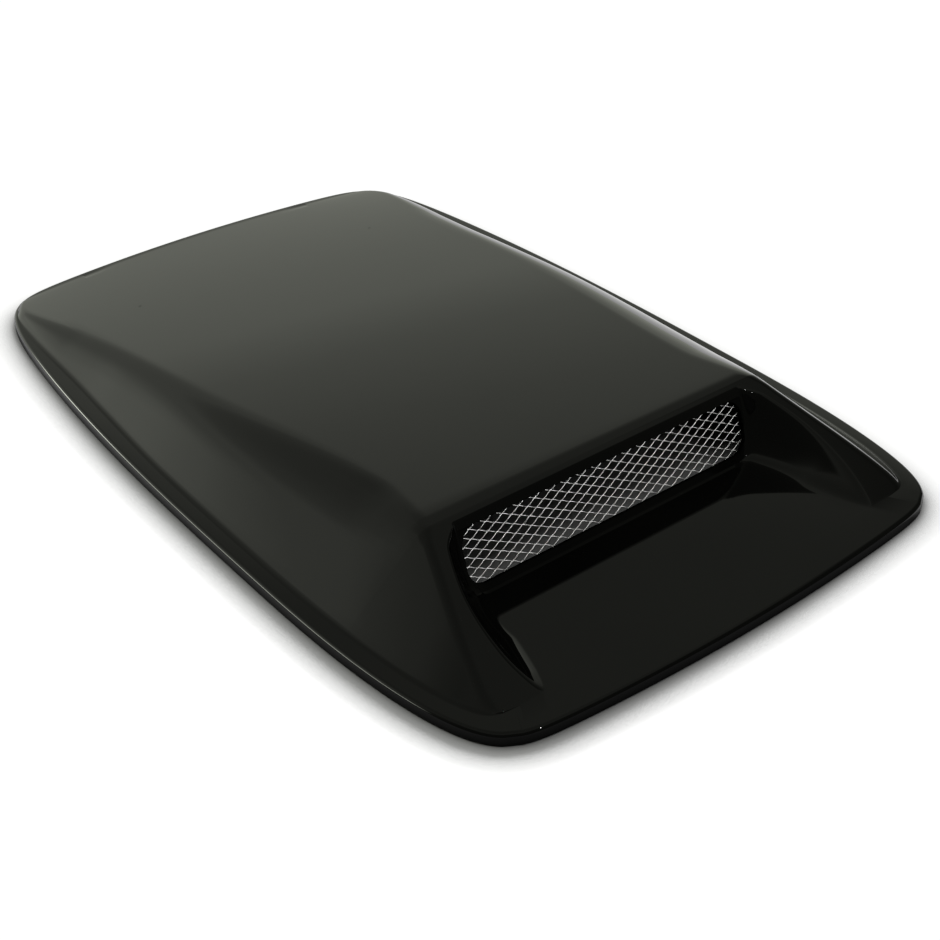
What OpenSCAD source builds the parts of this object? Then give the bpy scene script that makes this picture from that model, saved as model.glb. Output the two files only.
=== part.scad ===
// Bonnet scoop: one thin-walled moulded shell with a recessed mesh mouth.
// Frame: +Z up, X across the car, the mouth faces -Y, origin on the bonnet
// surface under the middle of the scoop.

/* [Outline] */
// Overall width of the scoop across the car
scoop_w = 450; // [380:1:520]
// Overall length of the scoop from mouth edge to rear edge
scoop_l = 690; // [600:1:780]
// Distance of the widest place from the front edge
widest_back = 250; // [180:1:300]
// How far each side draws in at the rear end
rear_narrowing = 34; // [10:1:60]
// How far each side draws in at the front end
front_narrowing = 29; // [10:1:50]
// Bow of the rear edge
rear_bow = 22; // [5:1:40]
// Bow of the front edge
front_bow = 15; // [5:1:30]
// Squareness of the rear plan corners (larger is squarer)
rear_power = 14; // [6:0.5:20]
// Squareness of the front plan corners (larger is squarer)
front_power = 18; // [6:0.5:24]

/* [Shell] */
// Height of the rim and of the flange's top above the bonnet
rim_h = 9.5; // [8:0.1:14]
// Radius of the rim's top edge
rim_r = 3.4; // [2:0.1:5]
// Moulded wall thickness
wall = 3; // [2:0.1:4]
// Height of the brow above the flange
brow_rise = 52.5; // [35:0.5:70]
// Curvature of the top line from brow to rear edge (1 is straight)
top_power = 1.5; // [1:0.05:2.2]
// Slope of the side walls from the horizontal
side_slope = 40.5; // [34:0.5:50]
// How fast the side walls ease toward the front, per mm
side_ease = 0.0016; // [0:0.0001:0.002]
// Width of the flange beside the body
side_flange = 13.2; // [12:0.1:22]
// How much wider that flange is at the front corners
corner_flange = 5; // [0:0.5:8]
// Length over which it widens
corner_run = 63.5; // [40:0.5:100]
// Width of the flange in front of the body
front_flange = 31.5; // [22:0.5:45]
// Inset of the body's rear edge from the rim
rear_inset = 6; // [5:0.5:12]
// Half width of the soft shoulder between top and side
shoulder_soft = 15; // [6:0.5:22]
// Half width of the fillet at the foot of the side walls
foot_soft = 5; // [2:0.5:7]
// Half width of the bend at the outer edge of the horns
horn_soft = 4; // [2:0.5:8]

/* [Mouth] */
// Distance of the brow's front edge from the front edge of the rim
brow_back = 139.15; // [110:0.05:190]
// Lean of the mouth's back wall from the vertical
face_lean = 19.875; // [10:0.125:30]
// Radius of the brow's front edge
brow_r = 10; // [6:0.5:14]
// Rise of the mouth's floor toward the mesh, per mm
floor_rise = 0.01; // [0:0.005:0.05]
// Distance from the side edge to the horns' inner ridges at their widest
horn_band = 70.5; // [60:0.5:85]
// Distance of the ridges' widest place from the front edge
ridge_back = 63; // [55:1:80]
// How fast the ridges draw in behind their widest point
ridge_in_rear = 0.0036; // [0.002:0.0001:0.005]
// How fast the ridges draw in before their widest point
ridge_in_front = 0.0055; // [0.002:0.0001:0.006]
// Width of the horns' cheeks at the floor's waist
cheek_w = 27.2; // [20:0.1:36]
// Distance of the floor's waist from the front edge
waist_back = 80; // [68:1:92]
// How fast the floor narrows toward the mesh
floor_in_rear = 0.0069; // [0.004:0.0001:0.009]
// How fast the floor widens toward the front edge
floor_out_front = 0.455; // [0.3:0.005:0.5]
// How softly that widening begins
floor_out_soft = 12; // [4:1:20]
// Half width of the rounding along the ridges
ridge_soft = 6; // [2:0.1:7]
// Depth of the soft join where the back wall turns into the horns
corner_soft = 40; // [10:1:60]

/* [Mesh window] */
// Distance of the window's sides inside the floor's waist
window_side = 0.8; // [0.5:0.1:20]
// Height of the window's lower edge up the back wall
window_low = 5.3; // [4:0.1:12]
// Height of the window's upper edge up the back wall
window_high = 46.2; // [30:0.1:47]
// Corner radius of the window
window_r = 13; // [6:0.5:18]

/* [Mesh] */
// Long pitch of the diamonds
mesh_long = 13.67; // [10:0.01:20]
// Short pitch of the diamonds
mesh_short = 6.7; // [5:0.01:10]
// Width of a strand
strand_w = 0.9; // [0.7:0.1:2]
// Thickness of the mesh sheet
mesh_t = 0.9; // [0.6:0.1:2.5]
// Overlap of the sheet past the window, across
mesh_lap_x = 6; // [4:0.5:8]
// Overlap of the sheet past the window, up and down
mesh_lap_v = 3; // [2:0.1:4]
// Height of the mesh's seat behind the back wall
seat_rise = 0.5; // [0.3:0.1:1.5]
// Diameter of the mesh screws
mesh_screw_d = 2.9; // [2.2:0.1:3.5]
// Outer diameter of the mesh screws' washers
washer_d = 7; // [6:0.1:8]
// Thickness of the washers
washer_t = 0.8; // [0.5:0.1:1.2]

/* [Fixing] */
// Distance of the fixing bosses inside the floor's waist
boss_side = 12.3; // [6:0.1:40]
// Distance of the front bosses behind the brow's edge
boss_front = 95.85; // [60:0.05:140]
// Distance of the rear bosses from the rear edge
boss_rear = 130; // [105:1:200]
// Outer diameter of the bosses
boss_d = 14; // [12:0.5:18]
// Clearance of the bosses above the bonnet
boss_gap = 1; // [0.5:0.1:3]
// Outer diameter of the brass inserts
insert_d = 9; // [7:0.1:10]
// Length of the brass inserts
insert_l = 12; // [8:0.5:16]
// Bore of the inserts, for M6 bolts
insert_bore = 6; // [4:0.1:6.5]

/* [Ribs and tape] */
// Thickness of the ribs
rib_t = 2.2; // [1.5:0.1:3]
// Depth of the ribs under the top
rib_h = 8; // [5:0.5:18]
// Distance of the outer long ribs from the centre line
rib_x = 62; // [40:1:80]
// Distance of the long ribs' rear ends from the body's rear edge
rib_end = 49; // [30:1:90]
// Height of the floor ribs' lower edges above the bonnet
floor_rib_gap = 0.8; // [0.5:0.1:2]
// Width of the tape channel behind the rim
channel_w = 10; // [8:0.5:11]
// Clearance on each side of the tape in its channel
tape_clear = 0.5; // [0.2:0.1:1]
// Height of the tape's lower face above the bonnet
tape_gap = 0.2; // [0.1:0.1:1]
// Clearance of the channel's inner wall above the bonnet
skirt_gap = 1.2; // [0.6:0.1:3]

/* [Hidden] */
$fn = 48;
shell_color = [0.03, 0.03, 0.035];
mesh_color = [0.75, 0.76, 0.78];
steel_color = [0.7, 0.7, 0.72];
brass_color = [0.78, 0.62, 0.3];
tape_color = [0.12, 0.12, 0.13];

front_end = scoop_l / 2;
widest_y = -front_end + widest_back;
brow_y = -front_end + brow_back;
ridge_y = -front_end + ridge_back;
floor_y = -front_end + waist_back;
ridge_half = scoop_w / 2 - horn_band;
floor_half = ridge_half - cheek_w;
window_half = floor_half - window_side;
front_foot = -(front_end - front_flange);
rear_foot = front_end - rear_inset;
brow_z = rim_h + brow_rise;
wall_rate = tan(side_slope);
// the sloping front runs from the brow's edge down to the flange
brow_corner_y = brow_y + 4.25;
slope_rate = brow_rise / (brow_corner_y + 5 - front_foot);
face_rate = tan(90 - face_lean);
floor_at_face = rim_h + floor_rise * (brow_y - 14 - front_foot);

function sq(a) = a * a;
function clamp01(a) = max(0, min(1, a));
function mix(a, b, t) = a + (b - a) * t;
function unit(v) = v / norm(v);
// the lesser or greater of two heights, with a soft join of depth k
function soft_min(a, b, k) = k < 0.01 ? min(a, b) : min(a, b) - sq(max(k - abs(a - b), 0)) / (4 * k);
function soft_max(a, b, k) = -soft_min(-a, -b, k);

// plan outline: half width at y, end distance at x, and the pull of any
// point onto the outline along its own direction
function half_w(y) = scoop_w / 2 - (y > widest_y
    ? rear_narrowing * pow((y - widest_y) / (front_end - widest_y), 2.6)
    : front_narrowing * pow((widest_y - y) / (front_end + widest_y), 3));
function end_y(x, y) = front_end - (y > 0 ? rear_bow : front_bow) * sq(2 * x / scoop_w);
function corner_power(y) = y > 0 ? rear_power : front_power;
function pull(p) = let (n = corner_power(p.y))
    p * pow(pow(abs(p.x) / half_w(p.y), n) + pow(abs(p.y) / end_y(p.x, p.y), n), -1 / n);
function on_outline(p) = pull(pull(pull(pull(pull(p)))));
function outline_at(a) = on_outline([scoop_w / 2 * cos(a), front_end * sin(a)]);
function outward(a) = let (d = outline_at(a + 0.4) - outline_at(a - 0.4)) unit([d.y, -d.x]);
function inset_at(a, d) = outline_at(a) - d * outward(a);

// half width of the outline at y, and the foot of the body inside it
function edge_x(y) = half_w(y)
    * pow(max(1 - pow(abs(y) / end_y(0.94 * half_w(y), y), corner_power(y)), 0.0001), 1 / corner_power(y));
function foot_inset(y) = side_flange + corner_flange * sq(max(front_foot + corner_run - y, 0) / corner_run);
function foot_x(y) = min(edge_x(y) - 5, (half_w(y) - foot_inset(y)) * (y < 0
    ? pow(max(1 - pow(y / (front_foot - 0.1), 40), 0.0001), 1 / 40)
    : pow(max(1 - pow(y / (rear_foot + 3), 12), 0.0001), 1 / 12)));
function foot_fillet(y) = min(foot_soft, max(0.3, edge_x(y) - rim_r - 0.8 - foot_x(y)));
function side_rate(y) = wall_rate - side_ease * max(brow_y + 11 - y, 0);
function top_z(y) = rim_h + brow_rise * (1 - pow(clamp01((y - brow_corner_y) / (rear_foot - brow_corner_y)), top_power));
function slope_z(y) = rim_h + slope_rate * (y - front_foot);
function side_z(x, y) = rim_h + side_rate(y) * (foot_x(y) - abs(x));
function floor_z(y) = rim_h + floor_rise * max(y - front_foot, 0);

// plan curves of the mouth
function crease_x(y) = min(ridge_x(y) - 3.5, y < floor_y
    ? floor_half + floor_out_front * sq(floor_y - y) / (floor_y - y + floor_out_soft)
    : floor_half - floor_in_rear * sq(min(y, brow_y - 10) - floor_y));
function ridge_x(y) = ridge_half - (y < ridge_y ? ridge_in_front : ridge_in_rear) * sq(min(y, brow_y + 3) - ridge_y);
function ridge_w(y) = ridge_soft * (0.35 + 0.65 * clamp01((y - front_foot) / 70));
function cheek_power(y) = mix(3.5, 1.8, clamp01((brow_y - 12 - y) / 80));

// profile of the back wall and brow along the centre line, as y and z
face_foot_y = brow_y - (brow_z - floor_at_face) / face_rate + 4.25;
brow_a = [brow_corner_y + brow_r * 0.7, brow_z];
brow_b = [brow_corner_y, brow_z];
brow_c = [brow_corner_y - brow_r * 0.7 * sin(face_lean), brow_z - brow_r * 0.7 * cos(face_lean)];
function bend(a, b, c, t) = sq(1 - t) * a + 2 * t * (1 - t) * b + sq(t) * c;
face_line = concat(
    [[face_foot_y - scoop_l, floor_at_face - scoop_l * face_rate]],
    [for (t = [0, 0.09, 0.35, 0.65, 0.85, 0.93]) mix([face_foot_y, floor_at_face], brow_c, t)],
    [for (t = [0, 0.25, 0.5, 0.75, 1]) bend(brow_c, brow_b, brow_a, t)],
    [[brow_a.x + 0.001, brow_z + 50], [front_end + 50, brow_z + 50]]);
function body_z(x, y, yc) = let (
    lid = soft_min(top_z(yc), slope_z(y), 1.8),
    h = max(lid - rim_h, 0),
    ks = mix(horn_soft, shoulder_soft, clamp01((y - brow_y) / 60)) * side_rate(y),
    b = soft_min(lid, side_z(x, y), min(ks, 0.8 * h)))
    soft_max(b, rim_h, min(foot_fillet(y) * side_rate(y), 0.5 * h));
function cheek_z(x, y) = let (
    xc = crease_x(y), xr = ridge_x(y), t = (abs(x) - xc) / (xr - xc))
    floor_z(y) + (t < 0 ? 0 : pow(t, cheek_power(y)) * (min(slope_z(y), brow_z) - floor_z(y)));
function skin_z(x, y, yc) = let (
    xc = crease_x(y), xr = ridge_x(y),
    rate = cheek_power(y) * (min(slope_z(y), brow_z) - floor_z(y)) / (xr - xc),
    kr = y > brow_y ? 0 : ridge_w(y) * rate * clamp01((brow_y - y) / 8),
    kc = corner_soft * sq(clamp01((abs(x) - xc) / (xr - xc))))
    soft_min(body_z(x, y, yc), soft_max(cheek_z(x, y), lookup(yc, face_line), kc), kr);

// rows of the skin, front to rear, as the row's y on the centre line
mouth_rows = [for (t = [0, 0.035, 0.085, 0.15, 0.23, 0.32, 0.42, 0.53, 0.64, 0.75, 0.85, 0.92, 0.97])
    mix(front_foot, face_foot_y, t)];
brow_rows = [for (i = [1 : 11]) face_line[i].x];
top_rows = [for (t = [0.02, 0.06, 0.12, 0.19, 0.27, 0.35, 0.43, 0.51, 0.59, 0.67, 0.75, 0.82, 0.88, 0.925,
    0.957, 0.98, 1]) mix(brow_a.x, rear_foot, t)];
rows = concat(mouth_rows, brow_rows, top_rows);
row_bow = 0.6136 * rear_bow;
bow_run = 199;
function row_sag(yc) = row_bow * pow(clamp01((yc - rear_foot + bow_run) / bow_run), 1.6);

// columns of the skin from the centre line out, at a row's own y
function columns(y) = let (
    xc = crease_x(y), xr = ridge_x(y), xf = foot_x(y),
    lid = min(top_z(y), slope_z(y)),
    w = min(ridge_w(y), 0.3 * (xr - xc)),
    xb = min(xf - (lid - rim_h) / side_rate(y), xf - 0.25 * (xf - xr)),
    soft = mix(horn_soft, shoulder_soft, clamp01((y - brow_y) / 60)),
    wb = min(soft, 0.42 * min(xb - xr - w, xf - xb)),
    ff = foot_fillet(y),
    wf = min(ff, 0.4 * (xf - xb)))
    concat([for (t = [0, 0.35, 0.75]) t * xc],
        [for (t = [0, 0.25, 0.47, 0.67, 0.85]) mix(xc, xr - w, t)],
        [xr - w, xr - w / 2, xr, xr + w, mix(xr + w, xb - wb, 0.5), xb - wb, xb - wb / 3, xb + wb / 3, xb + wb],
        [mix(xb + wb, xf - wf, 0.5), xf - wf, xf - wf / 3, xf + wf / 3, xf + ff]);
function row_points(yc) = let (
    sag = row_sag(yc), y = yc - sag, c = columns(y), n = len(c) - 1, last = c[n])
    [for (i = [-n : n]) let (
        x = i < 0 ? -c[-i] : c[i],
        yy = yc - sag * sq(x / last),
        edge = abs(i) == n || yc == rows[0] || yc == rows[len(rows) - 1])
        [x, yy, edge ? rim_h : skin_z(x, y, yc)]];
skin = [for (yc = rows) row_points(yc)];
row_n = len(rows);
col_n = len(skin[0]);

// inner side of the skin, one wall thickness in along the local normal
function skin_in(j, i) = j == 0 || i == 0 || j == row_n - 1 || i == col_n - 1
    ? skin[j][i] - [0, 0, wall]
    : let (
        across = skin[j][i + 1] - skin[j][i - 1],
        along = skin[j + 1][i] - skin[j - 1][i])
        skin[j][i] - wall * unit(cross(across, along));

// the skin's edge loop, seen from above against the clock
edge_loop = concat(
    [for (i = [0 : col_n - 2]) [0, i]],
    [for (j = [0 : row_n - 2]) [j, col_n - 1]],
    [for (i = [col_n - 1 : -1 : 1]) [row_n - 1, i]],
    [for (j = [row_n - 1 : -1 : 1]) [j, 0]]);
edge_n = len(edge_loop);
rim_line = [for (e = edge_loop) on_outline([skin[e[0]][e[1]].x, skin[e[0]][e[1]].y])];
rim_out = [for (k = [0 : edge_n - 1])
    let (d = rim_line[(k + 1) % edge_n] - rim_line[(k + edge_n - 1) % edge_n]) unit([d.y, -d.x])];
// section of the rim from the flange's top over the edge and back under it
rim_section = concat(
    [for (a = [90 : -30 : 0]) [rim_r * (1 - cos(a)), rim_h - rim_r * (1 - sin(a))]],
    [[0, 0], [wall, 0], [wall, rim_h - wall]]);
rim_n = len(rim_section);

module skin_shell() {
    top_n = row_n * col_n;
    rim_points = [for (s = rim_section) for (k = [0 : edge_n - 1])
        let (p = rim_line[k] - s[0] * rim_out[k]) [p.x, p.y, s[1]]];
    points = concat(
        [for (row = skin) for (p = row) p],
        [for (j = [0 : row_n - 1]) for (i = [0 : col_n - 1]) skin_in(j, i)],
        rim_points);
    quads = [for (j = [0 : row_n - 2]) for (i = [0 : col_n - 2])
        [j * col_n + i, j * col_n + i + 1, (j + 1) * col_n + i + 1, (j + 1) * col_n + i]];
    function edge_at(k, under) = let (e = edge_loop[k % edge_n]) e[0] * col_n + e[1] + (under ? top_n : 0);
    function rim_at(s, k) = 2 * top_n + s * edge_n + (k % edge_n);
    function split(q) = let (
        a = norm(points[q[0]] - points[q[2]]), b = norm(points[q[1]] - points[q[3]]))
        a < b ? [[q[0], q[1], q[2]], [q[0], q[2], q[3]]] : [[q[0], q[1], q[3]], [q[1], q[2], q[3]]];
    rim_quads = concat(
        [for (k = [0 : edge_n - 1]) [edge_at(k, false), rim_at(0, k), rim_at(0, k + 1), edge_at(k + 1, false)]],
        [for (s = [0 : rim_n - 2]) for (k = [0 : edge_n - 1])
            [rim_at(s, k), rim_at(s + 1, k), rim_at(s + 1, k + 1), rim_at(s, k + 1)]],
        [for (k = [0 : edge_n - 1])
            [rim_at(rim_n - 1, k), edge_at(k, true), edge_at(k + 1, true), rim_at(rim_n - 1, k + 1)]]);
    under_quads = [for (q = quads) [q[3] + top_n, q[2] + top_n, q[1] + top_n, q[0] + top_n]];
    faces = [for (q = concat(quads, under_quads, rim_quads)) for (t = split(q)) [t[2], t[1], t[0]]];
    polyhedron(points, faces);
}

// plane of the mouth's back wall: x across, y up the wall, z out of it
module on_face() {
    translate([0, face_foot_y, floor_at_face])
        rotate([90 - face_lean, 0, 0])
            children();
}

module rounded(half, low, high, r) {
    translate([-half + r, low])
        square([2 * (half - r), high - low]);
    translate([-half, low + r])
        square([2 * half, high - low - 2 * r]);
    for (x = [-1, 1], y = [low + r, high - r])
        translate([x * (half - r), y])
            circle(r);
}

mesh_half = window_half + mesh_lap_x;
seat_back = wall + seat_rise;
mesh_low = window_low - mesh_lap_v;
mesh_high = window_high + mesh_lap_v;
mesh_r = 5;
// four mesh screws, one at each corner of the window
screw_x = window_half - 0.5;
screw_low = window_low + 0.6;
screw_high = window_high - 0.6;
screw_grip = 2.2;
screw_spots = [for (x = [-screw_x, screw_x], y = [screw_low, screw_high]) [x, y]];

// flat seat for the mesh behind the wall
module mesh_seat() {
    on_face()
        translate([0, 0, -seat_back])
            linear_extrude(seat_back - 0.4 * wall)
                rounded(mesh_half + 1, mesh_low - 1, mesh_high + 0.3, mesh_r + 1);
}

boss_x = floor_half - boss_side;
boss_spots = [for (x = [-boss_x, boss_x], y = [brow_y + boss_front, front_end - boss_rear]) [x, y]];
function roof(y) = top_z(y) - wall / 2;

module boss(x, y) {
    translate([x, y, boss_gap])
        cylinder(d = boss_d, h = roof(y) - boss_gap);
    for (a = [0, 90])
        translate([x, y, roof(y) - 0.7 * wall])
            rotate([90, 0, a])
                translate([0, 0, -rib_t / 2])
                    linear_extrude(rib_t)
                        polygon([[-boss_d, 0], [boss_d, 0], [boss_d / 2 - 1, -0.6 * (roof(y) - boss_gap)],
                            [-boss_d / 2 + 1, -0.6 * (roof(y) - boss_gap)]]);
}

module long_rib(x) {
    ys = [for (t = [0 : 0.1 : 1]) mix(brow_a.x + 14, rear_foot - rib_end, t)];
    translate([x - rib_t / 2, 0, 0])
        rotate([90, 0, 90])
            linear_extrude(rib_t)
                polygon(concat(
                    [for (y = ys) [y, roof(y)]],
                    [for (i = [len(ys) - 1 : -1 : 0]) [ys[i], max(roof(ys[i]) - rib_h, rim_h - wall)]]));
}

cross_ribs = [for (t = [0.2035, 0.4604, 0.6531]) mix(brow_y, rear_foot, t)];
module cross_rib(y) {
    half = foot_x(y) - (top_z(y) - rim_h) / wall_rate - shoulder_soft;
    translate([-half, y - rib_t / 2, roof(y) - rib_h])
        cube([2 * half, rib_t, rib_h - 0.4]);
}

module floor_rib(x) {
    translate([x - rib_t / 2, front_foot - 12, floor_rib_gap])
        cube([rib_t, face_foot_y - front_foot + 8, rim_h - floor_rib_gap - wall / 2]);
}

// tape runs in plan angle: right, rear, left and front
tape_runs = [[-32, 30], [64, 116], [150, 212], [244, 296]];
module inset_strip(run, near, far) {
    step = (run[1] - run[0]) / round((run[1] - run[0]) / 3);
    polygon(concat(
        [for (a = [run[0] : step : run[1] + 0.01]) inset_at(a, near)],
        [for (a = [run[1] : -step : run[0] - 0.01]) inset_at(a, far)]));
}

module scoop_shell() {
    color(shell_color)
        difference() {
            union() {
                skin_shell();
                mesh_seat();
                // inner walls of the tape channels
                for (run = tape_runs)
                    translate([0, 0, skirt_gap])
                        linear_extrude(rim_h - 1.2 - skirt_gap)
                            inset_strip([run[0] - 2, run[1] + 2], wall + channel_w, wall + channel_w + rib_t);
                for (s = boss_spots)
                    boss(s.x, s.y);
                for (x = [-rib_x, 0, rib_x])
                    long_rib(x);
                for (y = cross_ribs)
                    cross_rib(y);
                for (k = [-3 : 2 : 3])
                    floor_rib(k * floor_half / 4.25);
            }
            // mesh window through the mouth's back wall
            on_face()
                translate([0, 0, -seat_back - 3])
                    linear_extrude(seat_back + 8)
                        rounded(window_half, window_low, window_high, window_r);
            // blind holes for the mesh screws, from behind
            on_face()
                for (s = screw_spots)
                    translate([s.x, s.y, -seat_back - 1])
                        cylinder(d = mesh_screw_d, h = 1 + screw_grip);
            // pockets for the brass inserts
            for (s = boss_spots)
                translate([s.x, s.y, boss_gap - 1])
                    cylinder(d = insert_d, h = insert_l + 1);
        }
}

// expanded metal: rhombic holes in staggered rows
module mesh_grille() {
    nu = floor(window_half / mesh_long) + 1;
    mid = (window_low + window_high) / 2;
    nv = floor((window_high - window_low) / mesh_short) + 1;
    a = mesh_long / 2 - strand_w * 1.02;
    b = mesh_short / 2 - strand_w * 0.55;
    cells = [for (i = [-2 * nu : 2 * nu], j = [-nv : nv])
        if ((i + j) % 2 == 0
            && abs(i * mesh_long / 2) < window_half - 1
            && abs(j * mesh_short / 2) < (window_high - window_low) / 2 - 0.4
            && norm([max(abs(i * mesh_long / 2) - window_half + window_r, 0),
                max(abs(j * mesh_short / 2) - (window_high - window_low) / 2 + window_r, 0)]) < window_r - 1)
            [i * mesh_long / 2, mid + j * mesh_short / 2]];
    color(mesh_color)
        on_face()
            translate([0, 0, -seat_back - mesh_t])
                linear_extrude(mesh_t)
                    difference() {
                        rounded(mesh_half, mesh_low, mesh_high, mesh_r);
                        for (c = cells)
                            translate(c)
                                polygon([[a, 0], [0, b], [-a, 0], [0, -b]]);
                        for (s = screw_spots)
                            translate(s)
                                circle(d = mesh_screw_d + 0.4);
                    }
}

module mesh_washers() {
    color(steel_color)
        on_face()
            for (s = screw_spots)
                translate([s.x, s.y, -seat_back - mesh_t - washer_t])
                    difference() {
                        cylinder(d = washer_d, h = washer_t);
                        translate([0, 0, -1])
                            cylinder(d = mesh_screw_d + 0.3, h = washer_t + 2);
                    }
}

module mesh_screws() {
    head_h = 1.9;
    head_d = 5.6;
    color(steel_color)
        on_face()
            for (s = screw_spots)
                translate([s.x, s.y, -seat_back - mesh_t - washer_t]) {
                    cylinder(d = mesh_screw_d, h = mesh_t + washer_t + screw_grip);
                    difference() {
                        translate([0, 0, -head_h])
                            cylinder(d1 = head_d - 1.6, d2 = head_d, h = head_h);
                        translate([0, 0, -head_h - 0.1])
                            for (r = [0, 90])
                                rotate(r)
                                    translate([-1.7, -0.35, 0])
                                        cube([3.4, 0.7, 1.2]);
                    }
                }
}

module brass_inserts() {
    color(brass_color)
        for (s = boss_spots)
            translate([s.x, s.y, boss_gap])
                difference() {
                    cylinder(d = insert_d, h = insert_l);
                    translate([0, 0, -1])
                        cylinder(d = insert_bore, h = insert_l + 2);
                }
}

// foam tape in the channels behind the rim
module tape(run) {
    color(tape_color)
        translate([0, 0, tape_gap])
            linear_extrude(rim_h - wall - tape_gap)
                inset_strip(run, wall + tape_clear, wall + channel_w - tape_clear);
}

module tape_right() {
    tape(tape_runs[0]);
}

module tape_rear() {
    tape(tape_runs[1]);
}

module tape_left() {
    tape(tape_runs[2]);
}

module tape_front() {
    tape(tape_runs[3]);
}

scoop_shell();
mesh_grille();
mesh_washers();
mesh_screws();
brass_inserts();
tape_front();
tape_rear();
tape_left();
tape_right();
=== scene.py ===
"""Looks of the bonnet scoop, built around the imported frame. Lengths are millimetres until to_metres()."""
import math

import bmesh
import bpy
import numpy as np
from mathutils import Matrix, Vector


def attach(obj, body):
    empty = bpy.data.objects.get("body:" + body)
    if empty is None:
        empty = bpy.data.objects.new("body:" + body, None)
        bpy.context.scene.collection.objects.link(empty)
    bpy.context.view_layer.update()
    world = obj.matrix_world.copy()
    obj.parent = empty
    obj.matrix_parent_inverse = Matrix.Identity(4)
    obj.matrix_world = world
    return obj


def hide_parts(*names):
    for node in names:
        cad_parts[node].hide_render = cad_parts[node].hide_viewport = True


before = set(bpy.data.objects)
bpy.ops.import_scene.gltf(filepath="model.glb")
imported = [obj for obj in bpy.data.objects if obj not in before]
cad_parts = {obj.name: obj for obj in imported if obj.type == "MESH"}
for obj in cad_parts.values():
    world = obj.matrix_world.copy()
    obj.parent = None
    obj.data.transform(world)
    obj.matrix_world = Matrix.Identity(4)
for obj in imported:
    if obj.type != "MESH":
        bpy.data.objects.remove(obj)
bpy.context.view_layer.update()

# Sizes, the same as in the CAD source except where a comment says more
WIDTH, LENGTH = 450.0, 690.0

# Plan outline: where it is widest, how much the ends narrow and bow, and how square the corners are
WIDEST_Y = -95.0
REAR_NARROW, FRONT_NARROW = 34.0, 29.0
REAR_NARROW_POWER, FRONT_NARROW_POWER = 2.6, 3
REAR_BOW, FRONT_BOW = 22.0, 15.0
REAR_POWER, FRONT_POWER = 14.0, 18.0

# Rim, wall and top line
RIM_H, RIM_R, WALL = 9.5, 3.4, 3.0
RISE, TOP_POWER = 52.5, 1.5

# Side walls, a little steeper behind the brow than in the CAD source
RATE = math.tan(math.radians(40.5))
SIDE_EASE = 0.0016
STEEPER, STEEPER_Y, STEEPER_RUN = 0.10, -140.0, 160.0

# Foot of the side walls: the flange's widths and how they change along the length.
# The mid and tail tapers aren't in the CAD source.
SIDE_FLANGE, FRONT_FLANGE, REAR_INSET = 13.2, 31.5, 6.0
FOOT_FRONT_POWER, FOOT_REAR_POWER = 40, 18
NOSE_TAPER, NOSE_TAPER_Y, NOSE_TAPER_RUN = 5.0, -250.15, 63.5
MID_TAPER, MID_TAPER_Y, MID_TAPER_RUN = 1.5, 20.0, 100.0
TAIL_TAPER, TAIL_TAPER_Y, TAIL_TAPER_RUN = 7.5, 150.0, 150.0
LEAST_FLANGE = 4.0

# Roundings; the shoulder is softer in front, and the foot and brow are crisper, than in the CAD source
SHOULDER, REAR_SHOULDER = 22.0, 14.0
SHOULDER_Y, SHOULDER_RUN = -100.0, 230.0
FOOT, HORN, RIDGE, CORNER_SOFT, BROW_SOFT = 2.5, 4.0, 6.0, 40.0, 1.2

# Brow and the mouth's back wall, which leans back; the bend between them reaches lower than in the
# CAD source and less far over the top
BROW_Y, LEAN, BROW_R = -205.85, math.radians(19.875), 10.0
CORNER_BACK, SLOPE_BACK = 4.25, 5.0
BEND_TOP, BEND_FACE = 0.5, 0.95

# Mouth: its floor, the creases along it, the ridges of the horns and the cheeks between them
FLOOR_RISE, FLOOR_BACK = 0.01, 14.0
CREASE_X, CREASE_Y = 127.3, -265.0
CREASE_OUT, CREASE_BEND, CREASE_IN = 0.455, 12.0, 0.0069
RIDGE_X, RIDGE_Y = 154.5, -282.0
RIDGE_FRONT, RIDGE_REAR = 0.0055, 0.0036
CHEEK_TIP, CHEEK_BACK, CHEEK_RUN = 3.5, 1.8, 80.0

# The rear rows of the skin bow as the rear edge does
SAG, SAG_Y, SAG_POWER = 13.5, 140.0, 1.6

# Window and mesh; the strands are thinner than in the CAD source
WINDOW_HALF, WINDOW_LOW, WINDOW_HIGH, WINDOW_R = 126.5, 5.3, 46.2, 13.0
WINDOW_CUT = (-8, 6)
MESH_LONG, MESH_SHORT, MESH_T, SEAT = 13.67, 6.7, 0.8, 3.5
LAP_X, LAP_V = 6.0, 3.0
STRAND, STRAND_TILT, STRAND_EASE, STRAND_WAVE = 0.58, math.radians(24), 0.35, 0.15
STRAND_STEPS, STRAND_SIDES = 6, 8

# Hidden side
BOSS_X, BOSS_FRONT, BOSS_REAR, BOSS_D, BOSS_GAP = 115.0, -110.0, 215.0, 14.0, 1.0
INSERT_D, INSERT_L = 9.0, 12.0
RIB_T, RIB_H = 2.2, 8.0
LONG_RIBS_X, LONG_RIB_END, CROSS_RIBS_Y = (-62.0, 0, 62.0), 290, (-95, 45, 150)
FLOOR_RIBS_X, FLOOR_RIB_LOW = (-90, -30, 30, 90), 0.8
CHANNEL, SKIRT_GAP, SKIRT_SINK = 10.0, 1.2, 1.2
TAPE_RUNS = [(-32, 30), (64, 116), (150, 212), (244, 296)]

# Camera, in metres and degrees; its focal length is in pixels of the photograph's frame
CAMERA_PLACE, CAMERA_DOWN, CAMERA_TURN = (-0.61638, -0.82686, 0.6482), 34.666, 38.737
FOCAL_PIXELS, PHOTO_PIXELS = 1580.19, 940

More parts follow.
